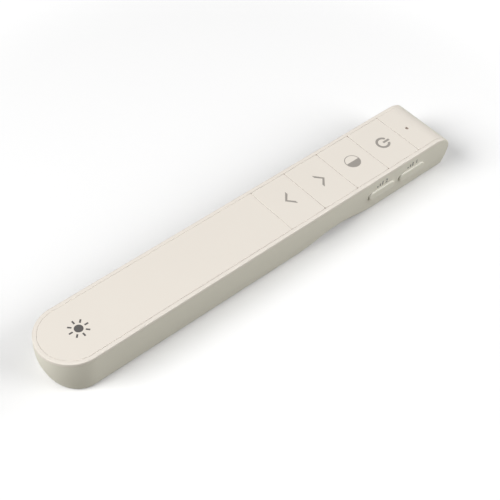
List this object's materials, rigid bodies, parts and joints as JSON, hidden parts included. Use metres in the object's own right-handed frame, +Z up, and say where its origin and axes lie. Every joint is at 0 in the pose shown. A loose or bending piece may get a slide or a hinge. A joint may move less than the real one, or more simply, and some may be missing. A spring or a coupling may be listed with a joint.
{
  "type": "led remote control",
  "caption": "Slim wand remote for a dimmable LED light: flush keys at the square head, blank round-ended grip, finger groove below, two side buttons, battery door.",
  "frame": {"origin": "middle of the overall box in plan, on the flat underside that the remote rests on", "axes": "+X along the remote towards the head with the keys, +Y towards the side without buttons, +Z up out of the key face"},
  "size_m": [0.1774, 0.0256, 0.0162],
  "materials": {
    "housing_plastic": "satin ivory",
    "key_plastic": "satin ivory",
    "board_laminate": "green solder resist",
    "switch_plastic": "satin black",
    "plunger_plastic": "satin grey",
    "chip_resin": "matt black",
    "can_aluminium": "satin",
    "cell_jacket": "plain grey jacket over a steel can",
    "contact_nickel": "nickel plated",
    "screw_steel": "zinc plated",
    "led_body": "white with a clear lens",
    "clear_plastic": "polished clear plastic"
  },
  "bodies": {
    "housing": {"bottom_shell": "housing_plastic", "top_frame": "housing_plastic", "grip_panel": "key_plastic", "head_panel": "key_plastic", "circuit_board": "board_laminate", "status_led": "led_body", "light_pipe": "clear_plastic", "radio_chip": "chip_resin", "crystal": "can_aluminium", "capacitor": "can_aluminium", "cell_near": "cell_jacket", "cell_far": "cell_jacket", "contact_positive": "contact_nickel", "contact_negative": "contact_nickel", "contact_bridge": "contact_nickel", "board_screws": "screw_steel", "housing_screws": "screw_steel", "switch_power": "switch_plastic", "switch_dim": "switch_plastic", "switch_up": "switch_plastic", "switch_down": "switch_plastic", "side_switch_1": "switch_plastic", "side_switch_2": "switch_plastic"},
    "key_power": {"key_power": "key_plastic", "plunger_power": "plunger_plastic"},
    "key_dim": {"key_dim": "key_plastic", "plunger_dim": "plunger_plastic"},
    "key_up": {"key_up": "key_plastic", "plunger_up": "plunger_plastic"},
    "key_down": {"key_down": "key_plastic", "plunger_down": "plunger_plastic"},
    "side_button_1": {"side_button_1": "housing_plastic", "side_plunger_1": "plunger_plastic"},
    "side_button_2": {"side_button_2": "housing_plastic", "side_plunger_2": "plunger_plastic"},
    "battery_door": {"battery_door": "housing_plastic"}
  },
  "joints": [
    {"name": "key_power_press", "type": "slide", "parent": "housing", "child": "key_power", "axis": [0, 0, -1], "range_m": [0, 0.0004], "stiffness_N_per_m": 1500, "springref_m": -0.0003},
    {"name": "key_dim_press", "type": "slide", "parent": "housing", "child": "key_dim", "axis": [0, 0, -1], "range_m": [0, 0.0004], "stiffness_N_per_m": 1500, "springref_m": -0.0003},
    {"name": "key_up_press", "type": "slide", "parent": "housing", "child": "key_up", "axis": [0, 0, -1], "range_m": [0, 0.0004], "stiffness_N_per_m": 1500, "springref_m": -0.0003},
    {"name": "key_down_press", "type": "slide", "parent": "housing", "child": "key_down", "axis": [0, 0, -1], "range_m": [0, 0.0004], "stiffness_N_per_m": 1500, "springref_m": -0.0003},
    {"name": "side_button_1_press", "type": "slide", "parent": "housing", "child": "side_button_1", "axis": [0, 1, 0], "range_m": [0, 0.0004], "stiffness_N_per_m": 1500, "springref_m": -0.0003},
    {"name": "side_button_2_press", "type": "slide", "parent": "housing", "child": "side_button_2", "axis": [0, 1, 0], "range_m": [0, 0.0004], "stiffness_N_per_m": 1500, "springref_m": -0.0003},
    {"name": "battery_door_swing", "type": "hinge", "parent": "housing", "child": "battery_door", "pos_m": [0.001, 0.0003, 0], "axis": [0, -1, 0], "range_deg": [0, 75]}
  ]
}
